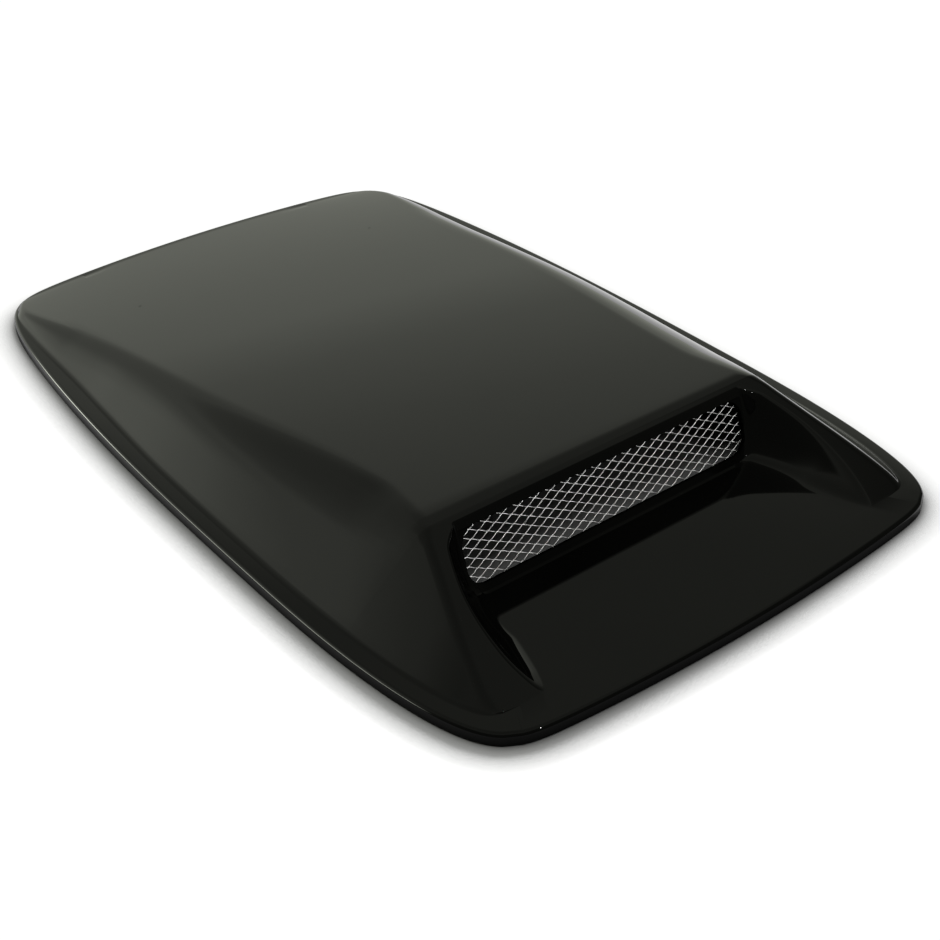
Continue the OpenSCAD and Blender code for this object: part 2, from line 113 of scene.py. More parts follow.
# Floor, in metres: the way to the light that grades the painted shadow, the reach of the painted shadow at
# the object's foot, and two rounded plan areas: where the painted shade under the scoop begins and where the
# painted reflection glows close by
TOWARD_LIGHT, PAINTED_SHADOW_REACH = (0.855, 0.52, 0.0), 0.022
PLAN_HALF, CLOSE_HALF = (0.212, 0.335), (0.275, 0.395)

# Studio: strengths by the sine of the elevation
STUDIO_TINT = (0.965, 1.0, 0.87, 1)
BAND = [(0.0, 0.62), (0.18, 0.50), (0.26, 0.47), (0.31, 0.47), (0.36, 0.34), (0.44, 0.265), (0.50, 0.245),
        (0.54, 0.235), (0.58, 0.15), (0.66, 0.085), (0.80, 0.03)]
BOX = [(0.0, 0.0), (0.28, 0.05), (0.36, 0.28), (0.41, 0.26), (0.50, 0.0)]
CEILING = [(0.0, 0.15), (0.6, 0.16), (0.78, 0.19), (1.0, 0.13)]
STRIP = [(0.0, 0.0), (0.08, 0.0), (0.12, 1.0), (0.21, 1.0), (0.25, 0.0)]

END = LENGTH / 2
FRONT_Y = -(END - FRONT_FLANGE)
REAR_Y = END - REAR_INSET
BROW_Z = RIM_H + RISE
CORNER_Y = BROW_Y + CORNER_BACK
SLOPE = RISE / (CORNER_Y + SLOPE_BACK - FRONT_Y)
FLOOR_AT = RIM_H + FLOOR_RISE * (BROW_Y - FLOOR_BACK - FRONT_Y)
FACE_Y = CORNER_Y - (BROW_Z - FLOOR_AT) * math.tan(LEAN)


def mix(a, b, t):
    return a + (b - a) * t


def clamp01(a):
    return np.clip(a, 0, 1)


def ease01(a):
    """A smooth step from 0 to 1 while a goes from 0 to 1."""
    a = clamp01(a)
    return a * a * (3 - 2 * a)


def soft_min(a, b, k):
    """The lesser of a and b, blended where they differ by less than k."""
    k = np.maximum(k, 1e-3)
    return np.minimum(a, b) - np.maximum(k - abs(a - b), 0) ** 2 / (4 * k)


def soft_max(a, b, k):
    return -soft_min(-a, -b, k)


def half_w(y):
    """Half width of the plan at y, before the corners are rounded."""
    y = np.asarray(y, float)
    rear = REAR_NARROW * (np.maximum(y - WIDEST_Y, 0) / (END - WIDEST_Y)) ** REAR_NARROW_POWER
    front = FRONT_NARROW * (np.maximum(WIDEST_Y - y, 0) / (END + WIDEST_Y)) ** FRONT_NARROW_POWER
    return WIDTH / 2 - rear - front


def end_y(x, y):
    return END - np.where(y > 0, REAR_BOW, FRONT_BOW) * (2 * x / WIDTH) ** 2


def squareness(y):
    return np.where(y > 0, REAR_POWER, FRONT_POWER)


def on_outline(x, y):
    """The outline's point in the direction of (x, y), found in a few steps."""
    for _ in range(7):
        n = squareness(y)
        s = ((abs(x) / half_w(y)) ** n + (abs(y) / end_y(x, y)) ** n) ** (-1 / n)
        x, y = x * s, y * s
    return x, y


def rounded_end(y, end, power):
    """A share of the width that is 1 mid-way and falls to about 0 at the end."""
    return np.maximum(1 - (abs(y) / end) ** power, 1e-4) ** (1 / power)


def foot_x(y):
    """Half width at the foot of the side walls."""
    y = np.asarray(y, float)
    front = rounded_end(y, abs(FRONT_Y) + 0.1, FOOT_FRONT_POWER)
    rear = rounded_end(y, REAR_Y + 3, FOOT_REAR_POWER)
    mid = MID_TAPER * ease01((y - MID_TAPER_Y) / MID_TAPER_RUN)
    tail = TAIL_TAPER * ease01((y - TAIL_TAPER_Y) / TAIL_TAPER_RUN)
    nose = NOSE_TAPER * (np.maximum(NOSE_TAPER_Y - y, 0) / NOSE_TAPER_RUN) ** 2
    wide = (half_w(y) - SIDE_FLANGE - mid + tail - nose) * np.where(y < 0, front, rear)
    return np.minimum(wide, edge_x(y) - LEAST_FLANGE)


def foot_soft(y):
    return np.clip(edge_x(y) - RIM_R - 0.8 - foot_x(y), 0.3, FOOT)


def edge_x(y):
    """Half width of the rounded outline at y."""
    h, n = half_w(y), squareness(y)
    return h * np.maximum(1 - (abs(y) / end_y(0.94 * h, y)) ** n, 1e-4) ** (1 / n)


def top_z(y):
    return RIM_H + RISE * (1 - clamp01((y - CORNER_Y) / (REAR_Y - CORNER_Y)) ** TOP_POWER)


def slope_z(y):
    return RIM_H + SLOPE * (y - FRONT_Y)


def side_rate(y):
    steeper = 1 + STEEPER * ease01((y - STEEPER_Y) / STEEPER_RUN)
    return RATE * steeper - SIDE_EASE * np.maximum(BROW_Y + 11 - y, 0)


def side_z(x, y):
    return RIM_H + side_rate(y) * (foot_x(y) - abs(x))


def floor_z(y):
    return RIM_H + FLOOR_RISE * np.maximum(y - FRONT_Y, 0)


def crease_x(y):
    """Half width of the mouth's floor: it opens out before CREASE_Y and narrows toward the mesh."""
    y = np.asarray(y, float)
    d = np.maximum(CREASE_Y - y, 0)
    front = CREASE_X + CREASE_OUT * d * d / (d + CREASE_BEND)
    rear = CREASE_X - CREASE_IN * (np.minimum(y, BROW_Y - 10) - CREASE_Y) ** 2
    return np.where(y < CREASE_Y, front, rear)


def ridge_x(y):
    """Half distance between the ridges of the horns."""
    y = np.asarray(y, float)
    inward = np.where(y < RIDGE_Y, RIDGE_FRONT, RIDGE_REAR)
    return RIDGE_X - inward * (np.minimum(y, BROW_Y + 3) - RIDGE_Y) ** 2


def ridge_w(y):
    """Half width of the ridges' rounding, finer toward their tips."""
    return RIDGE * (0.35 + 0.65 * clamp01((y - FRONT_Y) / 70))


def cheek_power(y):
    return mix(CHEEK_TIP, CHEEK_BACK, clamp01((BROW_Y - 12 - y) / CHEEK_RUN))


BEND_A = (CORNER_Y + BROW_R * BEND_TOP, BROW_Z)
BEND_B = (CORNER_Y, BROW_Z)
BEND_C = (CORNER_Y - BROW_R * BEND_FACE * math.sin(LEAN), BROW_Z - BROW_R * BEND_FACE * math.cos(LEAN))


def face_profile(n_face, n_bend):
    """The back wall and the brow's bend along the centre line, as y and z."""
    t = np.linspace(0, 1, n_face)[:-1]
    face = np.stack([mix(FACE_Y, BEND_C[0], t), mix(FLOOR_AT, BEND_C[1], t)], 1)
    t = np.linspace(0, 1, n_bend)[:, None]
    a, b, c = np.array(BEND_A), np.array(BEND_B), np.array(BEND_C)
    return np.concatenate([face, (1 - t) ** 2 * c + 2 * t * (1 - t) * b + t * t * a])


FACE_LINE = face_profile(12, 49)


def face_z(y):
    z = np.interp(y, FACE_LINE[:, 0], FACE_LINE[:, 1])
    below = FLOOR_AT + (y - FACE_Y) / math.tan(LEAN)
    return np.where(y < FACE_Y, below, np.where(y > BEND_A[0] + 1e-6, BROW_Z + 50, z))


def shoulder(y):
    return mix(SHOULDER, REAR_SHOULDER, ease01((y - SHOULDER_Y) / SHOULDER_RUN))


def body_z(x, y, yc):
    """Height of the body without its mouth; yc is y on the centre line of the same row."""
    lid = soft_min(top_z(yc), slope_z(y), BROW_SOFT)
    h = np.maximum(lid - RIM_H, 0)
    k = mix(HORN, shoulder(y), clamp01((y - BROW_Y) / 60)) * side_rate(y)
    body = soft_min(lid, side_z(x, y), np.minimum(k, 0.8 * h))
    return soft_max(body, RIM_H, np.minimum(foot_soft(y) * side_rate(y), 0.5 * h))


def cheek_z(x, y):
    """Height of the mouth's floor and of the cheeks that rise from its creases to the ridges."""
    xc, xr = crease_x(y), ridge_x(y)
    t = np.maximum((abs(x) - xc) / (xr - xc), 0)
    return floor_z(y) + t ** cheek_power(y) * (np.minimum(slope_z(y), BROW_Z) - floor_z(y))


def skin_z(x, y, yc):
    xc, xr = crease_x(y), ridge_x(y)
    rate = cheek_power(y) * (np.minimum(slope_z(y), BROW_Z) - floor_z(y)) / (xr - xc)
    k = np.where(y > BROW_Y, 0, ridge_w(y) * rate * clamp01((BROW_Y - y) / 8))
    corner = CORNER_SOFT * clamp01((abs(x) - xc) / (xr - xc)) ** 2
    return soft_min(body_z(x, y, yc), soft_max(cheek_z(x, y), face_z(yc), corner), k)


def columns(y):
    """Half a row's x values, denser where the skin bends."""
    xc, xr, xf = crease_x(y), ridge_x(y), foot_x(y)
    lid = np.minimum(top_z(y), slope_z(y))
    w = min(float(ridge_w(y)), 0.3 * (xr - xc))
    xb = min(xf - (lid - RIM_H) / side_rate(y), xf - 0.25 * (xf - xr))
    soft = mix(HORN, SHOULDER, clamp01((y - BROW_Y) / 60))
    wb = min(soft, 0.42 * min(xb - xr - w, xf - xb))
    wf = min(foot_soft(y), 0.4 * (xf - xb))
    last = xf + foot_soft(y)
    stops = [(0, 12), (xc, 34), (xr - w, 12), (xr + w, 7),
             (xb - wb, 14), (xb + wb, 10), (xf - wf, 10), (last, 0)]
    out = []
    for (a, n), (b, _) in zip(stops[:-1], stops[1:]):
        out += [mix(a, b, i / n) for i in range(n)]
    return np.array(out + [last])


def skin_rows():
    """The rows' y values on the centre line."""
    mouth = mix(FRONT_Y, FACE_Y, np.linspace(0, 1, 46) ** 1.12)[:-1]
    face = face_profile(12, 17)[:, 0]
    top = mix(BEND_A[0], REAR_Y, 1 - (1 - np.linspace(0, 1, 70)) ** 1.25)[1:]
    return np.concatenate([mouth, face, top])


def skin_grid():
    """The outer skin's points, row by row."""
    rows = skin_rows()
    grid = []
    for j, yc in enumerate(rows):
        sag = SAG * float(clamp01((yc - SAG_Y) / (REAR_Y - SAG_Y))) ** SAG_POWER
        half = columns(yc - sag)
        x = np.concatenate([-half[:0:-1], half])
        y = yc - sag * (x / half[-1]) ** 2
        z = skin_z(x, y, np.full_like(x, yc))
        z[0] = z[-1] = RIM_H
        if j in (0, len(rows) - 1):
            z[:] = RIM_H
        grid.append(np.stack([x, y, z], 1))
    return np.array(grid)


def inner_grid(skin):
    """The inner skin's points, one wall in along the outer skin's normals."""
    across = np.zeros_like(skin)
    along = np.zeros_like(skin)
    across[:, 1:-1] = skin[:, 2:] - skin[:, :-2]
    along[1:-1] = skin[2:] - skin[:-2]
    n = np.cross(across, along)
    n[0] = n[-1] = (0, 0, 1)
    n[:, 0] = n[:, -1] = (0, 0, 1)
    n /= np.linalg.norm(n, axis=-1, keepdims=True)
    return skin - WALL * n


def rim_rings(skin):
    """Rings of the rim, from the flange's top over the edge and back under it."""
    rows, cols = skin.shape[:2]
    loop = ([(0, i) for i in range(cols - 1)] + [(j, cols - 1) for j in range(rows - 1)]
            + [(rows - 1, i) for i in range(cols - 1, 0, -1)] + [(j, 0) for j in range(rows - 1, 0, -1)])
    jj, ii = np.array(loop).T
    x, y = on_outline(skin[jj, ii, 0], skin[jj, ii, 1])
    edge = np.stack([x, y], 1)
    d = np.roll(edge, -1, 0) - np.roll(edge, 1, 0)
    out = np.stack([d[:, 1], -d[:, 0]], 1)
    out /= np.linalg.norm(out, axis=1, keepdims=True)
    section = [(RIM_R * (1 - math.cos(a)), RIM_H - RIM_R * (1 - math.sin(a)))
               for a in np.linspace(math.pi / 2, 0, 9)]
    section += [(0, 0.5), (0.35, 0.12), (0.8, 0), (WALL, 0), (WALL, RIM_H - WALL)]
    rings = [np.column_stack([edge - s * out, np.full(len(edge), z)]) for s, z in section]
    return loop, rings


def new_object(name, verts, faces, sharp=32.0, smooth=True):
    mesh = bpy.data.meshes.new(name)
    mesh.from_pydata([tuple(v) for v in verts], [], [tuple(f) for f in faces])
    mesh.validate()
    ob = bpy.data.objects.new(name, mesh)
    bpy.context.scene.collection.objects.link(ob)
    if smooth:
        for p in mesh.polygons:
            p.use_smooth = True
        mesh.set_sharp_from_angle(angle=math.radians(sharp))
    return ob


def shell_mesh():
    skin = skin_grid()
    inner = inner_grid(skin)
    loop, rings = rim_rings(skin)
    rows, cols = skin.shape[:2]
    n = rows * cols
    verts = np.concatenate([skin.reshape(-1, 3), inner.reshape(-1, 3)] + rings)
    faces = []
    for j in range(rows - 1):
        for i in range(cols - 1):
            q = [j * cols + i, j * cols + i + 1, (j + 1) * cols + i + 1, (j + 1) * cols + i]
            faces.append(q)
            faces.append([k + n for k in reversed(q)])
    m = len(loop)
    edge = [j * cols + i for j, i in loop]

    def ring(s, k):
        return 2 * n + s * m + k % m

    for k in range(m):
        a, b = edge[k], edge[(k + 1) % m]
        faces.append([a, ring(0, k), ring(0, k + 1), b])
        for s in range(len(rings) - 1):
            faces.append([ring(s, k), ring(s + 1, k), ring(s + 1, k + 1), ring(s, k + 1)])
        faces.append([ring(len(rings) - 1, k), a + n, b + n, ring(len(rings) - 1, k + 1)])
    return verts, faces


def prism(outline, frame_fn, low, high):
    """A closed prism over a plan outline; frame_fn turns (u, v, w) into a point."""
    n = len(outline)
    verts = [frame_fn(u, v, low) for u, v in outline] + [frame_fn(u, v, high) for u, v in outline]
    faces = [list(range(n))[::-1], list(range(n, 2 * n))]
    faces += [[i, (i + 1) % n, n + (i + 1) % n, n + i] for i in range(n)]
    return verts, faces


def on_face(u, v, w):
    """A point on the mouth's back wall: across, up along it, and out of it."""
    c, s = math.cos(LEAN), math.sin(LEAN)
    return (u, FACE_Y + v * s - w * c, FLOOR_AT + v * c + w * s)


def upright(u, v, w):
    return (u, v, w)


def along_x(u, v, w):
    return (w, u, v)


def along_y(u, v, w):
    return (u, w, v)


def rounded(half, low, high, r, n=10):
    pts = []
    corners = ((half - r, low + r, -90), (half - r, high - r, 0),
               (-half + r, high - r, 90), (-half + r, low + r, 180))
    for cx, cy, a0 in corners:
        for i in range(n + 1):
            a = math.radians(a0 + 90 * i / n)
            pts.append((cx + r * math.cos(a), cy + r * math.sin(a)))
    return pts


def disc(x, y, r, n=32):
    turns = [2 * math.pi * i / n for i in range(n)]
    return [(x + r * math.cos(a), y + r * math.sin(a)) for a in turns]


def inset_line(a0, a1, d):
    """A line that follows the outline between two plan angles, d in from it."""
    pts = []
    n = max(2, int(round(abs(a1 - a0) / 2)))

    def at(a):
        x, y = on_outline(WIDTH / 2 * math.cos(math.radians(a)), END * math.sin(math.radians(a)))
        return np.array([float(x), float(y)])

    for i in range(n + 1):
        a = a0 + (a1 - a0) * i / n
        t = at(a + 0.4) - at(a - 0.4)
        out = np.array([t[1], -t[0]]) / np.hypot(*t)
        pts.append(tuple(at(a) - d * out))
    return pts


def roof(y):
    """A height within the top's wall, where what hangs under it begins."""
    return float(top_z(y)) - WALL / 2


def cut(target, verts, faces, mode):
    """A boolean of a prism with the target, applied to its mesh."""
    tool = new_object("tool", verts, faces, smooth=False)
    mod = target.modifiers.new("b", "BOOLEAN")
    mod.operation = mode
    mod.solver = "MANIFOLD"
    mod.object = tool
    deps = bpy.context.evaluated_depsgraph_get()
    result = bpy.data.meshes.new_from_object(target.evaluated_get(deps))
    target.modifiers.clear()
    target.data = result
    bpy.data.objects.remove(tool)


LONG_RIB_START = BEND_A[0] + 14
BOSSES = [(sx * BOSS_X, y) for sx in (-1, 1) for y in (BOSS_FRONT, BOSS_REAR)]


def window_cutter():
    return prism(rounded(WINDOW_HALF, WINDOW_LOW, WINDOW_HIGH, WINDOW_R), on_face, *WINDOW_CUT)


def build_shell():
    verts, faces = shell_mesh()
    shell = new_object("shell", verts, faces)
    cut(shell, *window_cutter(), "DIFFERENCE")
    for p in shell.data.polygons:
        p.use_smooth = True
    shell.data.set_sharp_from_angle(angle=math.radians(32))
    return shell


def plate_x(name, x, profile):
    """A rib of the usual thickness across X, over a profile of (y, z)."""
    return new_object(name, *prism(profile, along_x, x - RIB_T / 2, x + RIB_T / 2), smooth=False)


def plate_y(name, y, profile):
    """A rib of the usual thickness across Y, over a profile of (x, z)."""
    return new_object(name, *prism(profile[::-1], along_y, y - RIB_T / 2, y + RIB_T / 2), smooth=False)


def mesh_seat():
    """The flat frame that the mesh lies on, behind the window."""
    outline = rounded(WINDOW_HALF + LAP_X + 1, WINDOW_LOW - LAP_V - 1, WINDOW_HIGH + LAP_V + 0.3, 6)
    ob = new_object("seat", *prism(outline, on_face, -SEAT, -0.4 * WALL), smooth=False)
    cut(ob, *window_cutter(), "DIFFERENCE")
    return ob


def boss_parts(x, y):
    """A boss with its blind pocket and two crossed gussets under the top."""
    boss = new_object("boss", *prism(disc(x, y, BOSS_D / 2), upright, BOSS_GAP, roof(y)), sharp=30)
    pocket = prism(disc(x, y, INSERT_D / 2), upright, BOSS_GAP - 1, BOSS_GAP + INSERT_L)
    cut(boss, *pocket, "DIFFERENCE")
    top = roof(y) - 0.3
    low = top - 0.6 * (roof(y) - BOSS_GAP)
    gusset = [(-BOSS_D, top), (-BOSS_D / 2 + 1, low), (BOSS_D / 2 - 1, low), (BOSS_D, top)]
    return [boss,
            plate_y("gusset", y, [(x + a, b) for a, b in gusset]),
            plate_x("gusset", x, [(y + a, b) for a, b in gusset])]


def long_rib(x):
    ys = [mix(LONG_RIB_START, LONG_RIB_END, i / 20) for i in range(21)]
    under = [(y, max(roof(y) - RIB_H, RIM_H - WALL)) for y in ys]
    return plate_x("rib", x, [(y, roof(y)) for y in ys[::-1]] + under)


def cross_rib(y):
    half = float(foot_x(y) - (top_z(y) - RIM_H) / RATE - SHOULDER)
    high, low = roof(y) - 0.4, roof(y) - RIB_H
    return plate_y("rib", y, [(-half, high), (-half, low), (half, low), (half, high)])


def floor_rib(x):
    front, back, high = FRONT_Y - 12, FACE_Y - 4, RIM_H - WALL / 2
    return plate_x("rib", x, [(front, FLOOR_RIB_LOW), (back, FLOOR_RIB_LOW), (back, high), (front, high)])


def skirt(a, b):
    """The inner wall of a tape channel, a little longer than the tape."""
    outer, inner = WALL + CHANNEL, WALL + CHANNEL + RIB_T
    line = inset_line(a - 2, b + 2, outer) + inset_line(a - 2, b + 2, inner)[::-1]
    return new_object("skirt", *prism(line, upright, SKIRT_GAP, RIM_H - SKIRT_SINK), smooth=False)


def hidden_parts():
    """Ribs, bosses, tape channels and the mesh's seat on the moulding's hidden side."""
    parts = [mesh_seat()]
    for x, y in BOSSES:
        parts += boss_parts(x, y)
    parts += [long_rib(x) for x in LONG_RIBS_X]
    parts += [cross_rib(y) for y in CROSS_RIBS_Y]
    parts += [floor_rib(x) for x in FLOOR_RIBS_X]
    parts += [skirt(a, b) for a, b in TAPE_RUNS]
    return parts


def join(obs, name):
    for o in bpy.context.selected_objects:
        o.select_set(False)
    for o in obs:
        o.select_set(True)
    bpy.context.view_layer.objects.active = obs[0]
    bpy.ops.object.join()
    obs[0].name = name
    obs[0].data.name = name
    return obs[0]


def to_metres(ob):
    ob.data.transform(Matrix.Scale(0.001, 4))
    return ob


def strand_points(a, b):
    """A strand's centre line from a to b, eased into the knuckles and waved through the sheet."""
    pts = []
    for k in range(STRAND_STEPS + 1):
        t = k / STRAND_STEPS
        v = mix(a[1], b[1], mix(t, 3 * t * t - 2 * t ** 3, STRAND_EASE))
        wave = STRAND_WAVE * math.sin(2 * math.pi * (t - 0.25))
        pts.append((mix(a[0], b[0], t), v, -SEAT - MESH_T / 2 + wave))
    return pts


def add_strand(bm, pts, tilt):
    """A flat strand along pts, leaning by tilt about its own line."""
    rings = []
    for k, p in enumerate(pts):
        a, b = pts[max(k - 1, 0)], pts[min(k + 1, len(pts) - 1)]
        d = Vector((b[0] - a[0], b[1] - a[1], 0)).normalized()
        side = Vector((-d.y, d.x, 0))
        up = Vector((0, 0, 1))
        w = side * math.cos(tilt) + up * math.sin(tilt)
        t = up * math.cos(tilt) - side * math.sin(tilt)
        ring = []
        for i in range(STRAND_SIDES):
            turn = 2 * math.pi * (i + 0.5) / STRAND_SIDES
            ring.append(Vector(p) + w * math.cos(turn) * STRAND / 2 + t * math.sin(turn) * 0.375 * MESH_T)
        rings.append([bm.verts.new(on_face(*v)) for v in ring])
    for r0, r1 in zip(rings[:-1], rings[1:]):
        for i in range(STRAND_SIDES):
            j = (i + 1) % STRAND_SIDES
            bm.faces.new((r0[i], r0[j], r1[j], r1[i]))
    bm.faces.new(rings[0][::-1])
    bm.faces.new(rings[-1])


def build_mesh_sheet():
    """Expanded metal: slanted strands meeting at thick knuckles, in staggered rows."""
    mid = (WINDOW_LOW + WINDOW_HIGH) / 2
    half = WINDOW_HALF + LAP_X
    low, high = WINDOW_LOW - LAP_V, WINDOW_HIGH + LAP_V
    du, dv = MESH_LONG / 2, MESH_SHORT / 2
    nu = int(half / du) + 2
    nv = int((high - low) / 2 / dv) + 2
    bm = bmesh.new()
    for i in range(-nu, nu):
        for j in range(-nv, nv + 1):
            if (i + j) % 2:
                continue
            for dj in (1, -1):
                a = (i * du, mid + j * dv)
                b = ((i + 1) * du, mid + (j + dj) * dv)
                within_u = max(abs(a[0]), abs(b[0])) <= half
                within_v = low <= min(a[1], b[1]) and max(a[1], b[1]) <= high
                if within_u and within_v:
                    add_strand(bm, strand_points(a, b), STRAND_TILT * dj)
    mesh = bpy.data.meshes.new("mesh_sheet")
    bm.to_mesh(mesh)
    bm.free()
    ob = bpy.data.objects.new("mesh_sheet", mesh)
    bpy.context.scene.collection.objects.link(ob)
    for p in mesh.polygons:
        p.use_smooth = True
    mesh.set_sharp_from_angle(angle=math.radians(60))
    return ob


# Materials

def material(name):
    m = bpy.data.materials.new(name)
    m.use_nodes = True
    nt = m.node_tree
    return m, nt, nt.nodes["Principled BSDF"]


def node(nt, kind, **values):
    n = nt.nodes.new(kind)
    for k, v in values.items():
        if k in n.inputs:
            n.inputs[k].default_value = v
        else:
            setattr(n, k, v)
    return n


def noise(nt, scale, detail=3.0, rough=0.5, stretch=None):
    tex = node(nt, "ShaderNodeTexCoord")
    src = tex.outputs["Object"]
    if stretch:
        m = node(nt, "ShaderNodeMapping")
        m.inputs["Scale"].default_value = stretch
        nt.links.new(src, m.inputs["Vector"])
        src = m.outputs["Vector"]
    n = node(nt, "ShaderNodeTexNoise", Scale=scale, Detail=detail, Roughness=rough)
    nt.links.new(src, n.inputs["Vector"])
    return n.outputs["Fac"]


def feed(nt, socket, value):
    """A number is set on the socket, an output is linked to it."""
    if isinstance(value, (int, float)):
        socket.default_value = value
    else:
        nt.links.new(value, socket)


def ramp(nt, src, low, high, a, b, smooth=False):
    """Goes from a to b while src goes from low to high, and stays level outside."""
    r = node(nt, "ShaderNodeMapRange")
    if smooth:
        r.interpolation_type = "SMOOTHSTEP"
    for name, value in (("Value", src), ("From Min", low), ("From Max", high), ("To Min", a), ("To Max", b)):
        feed(nt, r.inputs[name], value)
    return r.outputs["Result"]


def maths(nt, operation, a, b=None):
    n = node(nt, "ShaderNodeMath", operation=operation)
    feed(nt, n.inputs[0], a)
    if b is not None:
        feed(nt, n.inputs[1], b)
    return n.outputs[0]


def times(nt, first, *others):
    for other in others:
        first = maths(nt, "MULTIPLY", first, other)
    return first


def plus(nt, first, *others):
    for other in others:
        first = maths(nt, "ADD", first, other)
    return first


def most(nt, first, *others):
    for other in others:
        first = maths(nt, "MAXIMUM", first, other)
    return first


def colours(nt, src, stops):
    r = node(nt, "ShaderNodeValToRGB")
    while len(r.color_ramp.elements) < len(stops):
        r.color_ramp.elements.new(0.5)
    for e, (pos, col) in zip(r.color_ramp.elements, stops):
        e.position = pos
        e.color = (*col, 1)
    nt.links.new(src, r.inputs["Fac"])
    return r.outputs["Color"]


def greys(nt, src, stops):
    return colours(nt, src, [(pos, (v, v, v)) for pos, v in stops])


def bump(nt, src, strength, distance, bsdf):
    b = node(nt, "ShaderNodeBump", Strength=strength, Distance=distance)
    nt.links.new(src, b.inputs["Height"])
    nt.links.new(b.outputs["Normal"], bsdf.inputs["Normal"])


def gloss_black():
    m, nt, bsdf = material("gloss_black")
    bsdf.inputs["IOR"].default_value = 1.5
    col = colours(nt, noise(nt, 9, 4), [(0.3, (0.0016, 0.0017, 0.0015)), (0.7, (0.0028, 0.0029, 0.0025))])
    nt.links.new(col, bsdf.inputs["Base Color"])
    fine = noise(nt, 60, 5, 0.6)
    nt.links.new(ramp(nt, fine, 0.3, 0.7, 0.025, 0.05), bsdf.inputs["Roughness"])
    bump(nt, noise(nt, 26, 3, 0.5), 0.05, 0.0004, bsdf)
    return m


def bright_mesh():
    m, nt, bsdf = material("bright_mesh")
    bsdf.inputs["Metallic"].default_value = 1.0
    col = colours(nt, noise(nt, 300, 3), [(0.3, (0.84, 0.84, 0.82)), (0.7, (0.95, 0.95, 0.93))])
    nt.links.new(col, bsdf.inputs["Base Color"])
    nt.links.new(ramp(nt, noise(nt, 900, 2), 0.3, 0.7, 0.28, 0.45), bsdf.inputs["Roughness"])
    bump(nt, noise(nt, 1500, 2), 0.2, 0.0001, bsdf)
    return m


def zinc():
    m, nt, bsdf = material("zinc")
    bsdf.inputs["Metallic"].default_value = 1.0
    col = colours(nt, noise(nt, 400, 3), [(0.3, (0.5, 0.5, 0.5)), (0.7, (0.66, 0.66, 0.67))])
    nt.links.new(col, bsdf.inputs["Base Color"])
    nt.links.new(ramp(nt, noise(nt, 700, 2), 0.3, 0.7, 0.25, 0.42), bsdf.inputs["Roughness"])
    bump(nt, noise(nt, 2000, 2), 0.15, 0.00005, bsdf)
    return m


def brass():
    m, nt, bsdf = material("brass")
    bsdf.inputs["Metallic"].default_value = 1.0
    col = colours(nt, noise(nt, 500, 3), [(0.3, (0.62, 0.42, 0.16)), (0.7, (0.78, 0.56, 0.25))])
    nt.links.new(col, bsdf.inputs["Base Color"])
    nt.links.new(ramp(nt, noise(nt, 700, 2), 0.3, 0.7, 0.2, 0.4), bsdf.inputs["Roughness"])
    bump(nt, noise(nt, 1800, 2, stretch=(1, 1, 8)), 0.2, 0.00005, bsdf)
    return m


def foam():
    m, nt, bsdf = material("foam")
    col = colours(nt, noise(nt, 900, 4), [(0.3, (0.018, 0.018, 0.019)), (0.7, (0.045, 0.045, 0.047))])
    nt.links.new(col, bsdf.inputs["Base Color"])
    bsdf.inputs["Roughness"].default_value = 0.9
    bump(nt, noise(nt, 2500, 3), 0.6, 0.0004, bsdf)
    return m


def plan_term(nt, src, half):
    return maths(nt, "POWER", maths(nt, "DIVIDE", maths(nt, "ABSOLUTE", src), half), 8.0)


def plan_sum(nt, x, y, half_x, half_y):
    """Below 1 inside a rounded rectangle of these half sizes, above 1 outside it."""
    return plus(nt, plan_term(nt, x, half_x), plan_term(nt, y, half_y))


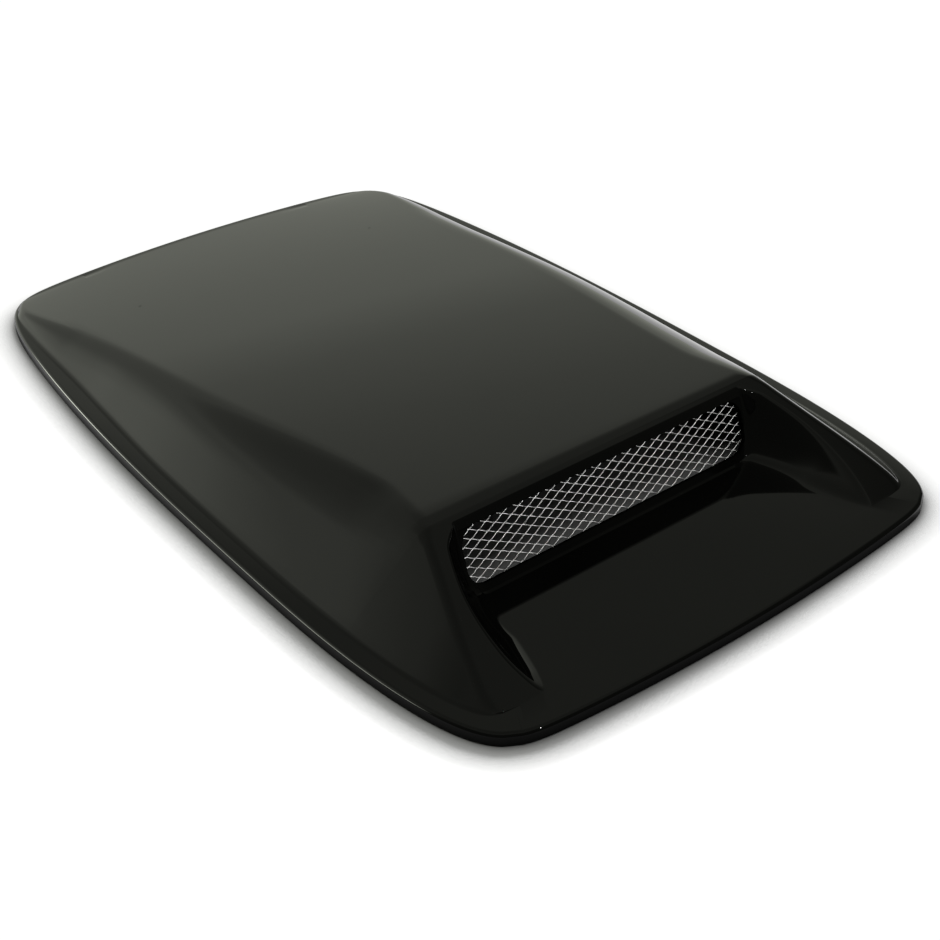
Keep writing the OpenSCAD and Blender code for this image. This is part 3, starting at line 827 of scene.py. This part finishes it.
def floor_look():
    """A white floor to the camera: its diffuse part keeps the object's real shadow, its glow carries a
    painted shadow at the object's foot and painted shade under the scoop, and to reflected rays it glows as
    a painted reflection.
    """
    m = bpy.data.materials.new("floor")
    m.use_nodes = True
    nt = m.node_tree
    nt.nodes.clear()
    path = node(nt, "ShaderNodeLightPath")
    glossy = path.outputs["Is Glossy Ray"]
    spot = node(nt, "ShaderNodeTexCoord").outputs["Object"]
    apart = node(nt, "ShaderNodeSeparateXYZ")
    nt.links.new(spot, apart.inputs[0])
    x, y = apart.outputs[0], apart.outputs[1]

    # painted shadow at the object's foot: ambient occlusion raised to a power darkens the floor's glow,
    # deeper on the near and left sides as if the light came from behind and the right; in the rim's
    # reflections this painted shadow is lighter on the left and deeper on the far side
    toward = node(nt, "ShaderNodeVectorMath", operation="DOT_PRODUCT")
    toward.inputs[1].default_value = TOWARD_LIGHT
    nt.links.new(spot, toward.inputs[0])
    seen_shadow_depth = ramp(nt, toward.outputs["Value"], -0.36, 0.06, 17.0, 2.0)
    mirrored_shadow_depth = ramp(nt, toward.outputs["Value"], -0.04, 0.06, 4.0, 10.0)
    open_sky = node(nt, "ShaderNodeAmbientOcclusion", Distance=PAINTED_SHADOW_REACH)
    open_sky.samples = 8
    painted_shadow_depth = ramp(nt, glossy, 0.0, 1.0, seen_shadow_depth, mirrored_shadow_depth)
    painted_contact_shadow = maths(nt, "POWER", open_sky.outputs["AO"], painted_shadow_depth)

    # painted shade: under the scoop the floor doesn't glow
    outside = ramp(nt, plan_sum(nt, x, y, *PLAN_HALF), 0.8, 1.0, 0.0, 1.0)
    glow_after_painted_shade = times(nt, painted_contact_shadow, outside)

    # painted reflection: to reflected rays the floor glows far behind the scoop, to its right, and close
    # around it, there less toward the front
    far_behind = ramp(nt, y, 0.30, 0.60, 0.0, 1.0)
    at_right = times(nt, ramp(nt, x, 0.17, 0.19, 0.0, 1.0), ramp(nt, y, -0.42, -0.32, 0.0, 1.0))
    close_by = times(nt, ramp(nt, plan_sum(nt, x, y, *CLOSE_HALF), 1.0, 0.7, 0.0, 1.0),
                     ramp(nt, y, -0.34, 0.20, 0.12, 1.0))
    painted_reflection_glow = times(nt, most(nt, far_behind, at_right, close_by), glossy)

    diffuse = node(nt, "ShaderNodeBsdfDiffuse")
    # painted shade: to reflected rays the floor's colour is much darker, and under the scoop it is a little
    # darker
    tone_with_painted_shade = times(nt, ramp(nt, glossy, 0.0, 1.0, 0.35, 0.05), ramp(nt, outside, 0.0, 1.0, 0.85, 1.0))
    nt.links.new(tone_with_painted_shade, diffuse.inputs["Color"])
    glow = node(nt, "ShaderNodeEmission")
    shown = most(nt, path.outputs["Is Camera Ray"], painted_reflection_glow)
    nt.links.new(times(nt, glow_after_painted_shade, shown, 0.85), glow.inputs["Strength"])
    both = node(nt, "ShaderNodeAddShader")
    nt.links.new(diffuse.outputs[0], both.inputs[0])
    nt.links.new(glow.outputs[0], both.inputs[1])
    out = node(nt, "ShaderNodeOutputMaterial")
    nt.links.new(both.outputs[0], out.inputs["Surface"])
    return m


def studio_light(nt):
    """Strength of the studio by direction: a low band behind the object, a dim ceiling, a dark near side."""
    apart = node(nt, "ShaderNodeSeparateXYZ")
    nt.links.new(node(nt, "ShaderNodeTexCoord").outputs["Generated"], apart.inputs[0])
    x, y, z = apart.outputs[0], apart.outputs[1], apart.outputs[2]
    level = most(nt, maths(nt, "SQRT", plus(nt, times(nt, x, x), times(nt, y, y))), 0.001)
    side = maths(nt, "DIVIDE", x, level)
    behind = maths(nt, "DIVIDE", y, level)

    def smooth(src, low, high, a, b):
        return ramp(nt, src, low, high, a, b, smooth=True)

    # the low band, by the sine of its elevation; its upper end slants down to the right
    slant = plus(nt, z, times(nt, most(nt, side, 0.0), 0.25))
    reach = times(nt, smooth(behind, 0.30, 0.62, 0.0, 1.0), smooth(side, -0.5, 0.42, 1.75, 1.0))
    band = times(nt, greys(nt, z, BAND), smooth(slant, 0.68, 0.80, 1.0, 0.0), reach)

    # a soft box low on the left and behind
    box_side = times(nt, smooth(side, -0.30, -0.08, 0.8, 0.0), smooth(behind, 0.25, 0.45, 0.0, 1.0))
    box = times(nt, greys(nt, z, BOX), box_side)

    # the ceiling dims toward the near side
    near = most(nt, smooth(behind, 0.0, 0.55, 0.3, 1.0), smooth(z, 0.68, 0.82, 0.3, 1.0))
    ceiling = times(nt, greys(nt, z, CEILING), near)

    # a bright strip at the left end, which the rim shows as a fine line
    strip_side = plus(nt, smooth(side, -0.60, -0.36, 5.0, 0.0), smooth(side, -0.62, -0.52, 0.0, 8.0))
    strip_side = times(nt, strip_side, smooth(side, -0.46, -0.36, 1.0, 0.0))
    strip = times(nt, greys(nt, z, STRIP), strip_side, smooth(behind, 0.22, 0.36, 0.0, 1.0))
    return plus(nt, band, ceiling, box, strip)


def make_world():
    world = bpy.data.worlds.new("studio")
    world.use_nodes = True
    nt = world.node_tree
    nt.nodes.clear()
    studio = node(nt, "ShaderNodeBackground", Color=STUDIO_TINT)
    nt.links.new(studio_light(nt), studio.inputs["Strength"])
    white = node(nt, "ShaderNodeBackground", Color=(1, 1, 1, 1), Strength=1.0)
    pick = node(nt, "ShaderNodeMixShader")
    nt.links.new(node(nt, "ShaderNodeLightPath").outputs["Is Camera Ray"], pick.inputs[0])
    nt.links.new(studio.outputs[0], pick.inputs[1])
    nt.links.new(white.outputs[0], pick.inputs[2])
    out = node(nt, "ShaderNodeOutputWorld")
    nt.links.new(pick.outputs[0], out.inputs["Surface"])
    return world


def dress(ob, look):
    ob.data.materials.clear()
    ob.data.materials.append(look)


def link(ob):
    bpy.context.scene.collection.objects.link(ob)
    return ob


def make_camera():
    data = bpy.data.cameras.new("camera")
    data.sensor_width = 36
    data.lens = data.sensor_width * FOCAL_PIXELS / PHOTO_PIXELS
    data.clip_start = 0.05
    data.clip_end = 60
    ob = link(bpy.data.objects.new("camera", data))
    ob.location = CAMERA_PLACE
    ob.rotation_euler = (math.radians(90 - CAMERA_DOWN), 0, math.radians(-CAMERA_TURN))
    return ob


def make_floor():
    bm = bmesh.new()
    bmesh.ops.create_grid(bm, x_segments=2, y_segments=2, size=14)
    mesh = bpy.data.meshes.new("floor")
    bm.to_mesh(mesh)
    bm.free()
    ob = link(bpy.data.objects.new("floor", mesh))
    ob.location = (0, 0, -0.0002)
    mesh.materials.append(floor_look())
    return ob


def area(name, place, target, size, power, glossy=True):
    data = bpy.data.lights.new(name, "AREA")
    data.shape = "SQUARE"
    data.size = size
    data.energy = power
    ob = link(bpy.data.objects.new(name, data))
    ob.location = place
    ob.rotation_euler = (Vector(target) - Vector(place)).to_track_quat("-Z", "Y").to_euler()
    ob.visible_glossy = glossy
    return ob


def light_only(lamp, piece):
    """The lamp lights this piece and nothing else."""
    receivers = bpy.data.collections.new(lamp.name + "_receivers")
    receivers.objects.link(piece)
    lamp.light_linking.receiver_collection = receivers


# The shell, the mesh and the hidden pieces
shell = build_shell()
hidden = join(hidden_parts(), "hidden_ribs")
shell = to_metres(join([shell, hidden], "shell"))
sheet = to_metres(build_mesh_sheet())
dress(shell, gloss_black())
dress(sheet, bright_mesh())
for piece, slot, stands_for in ((shell, "gloss_black", "scoop_shell"), (sheet, "mesh_metal", "mesh_grille")):
    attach(piece, "root")
    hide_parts(stands_for)
sheet.visible_glossy = False
looks = {"mesh_washers": zinc(), "mesh_screws": zinc(), "brass_inserts": brass()}
foam_look = foam()
for name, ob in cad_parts.items():
    look = looks.get(name, foam_look if name.startswith("tape") else None)
    if look:
        dress(ob, look)

# Camera at the photograph's viewing angle, floor, world and lamps
bpy.context.scene.camera = make_camera()
floor = make_floor()
bpy.context.scene.world = make_world()
area("overhead", (0, 0, 2.6), (0, 0, 0), 2.6, 36, glossy=False)
area("front", (0.16, -1.35, 0.97), (0, -0.2, 0), 0.03, 0.4)
light_only(area("grille", (0.7, -1.5, 0.4), (0, -0.2, 0.03), 0.9, 9), sheet)
bpy.context.scene.view_settings.view_transform = "Standard"
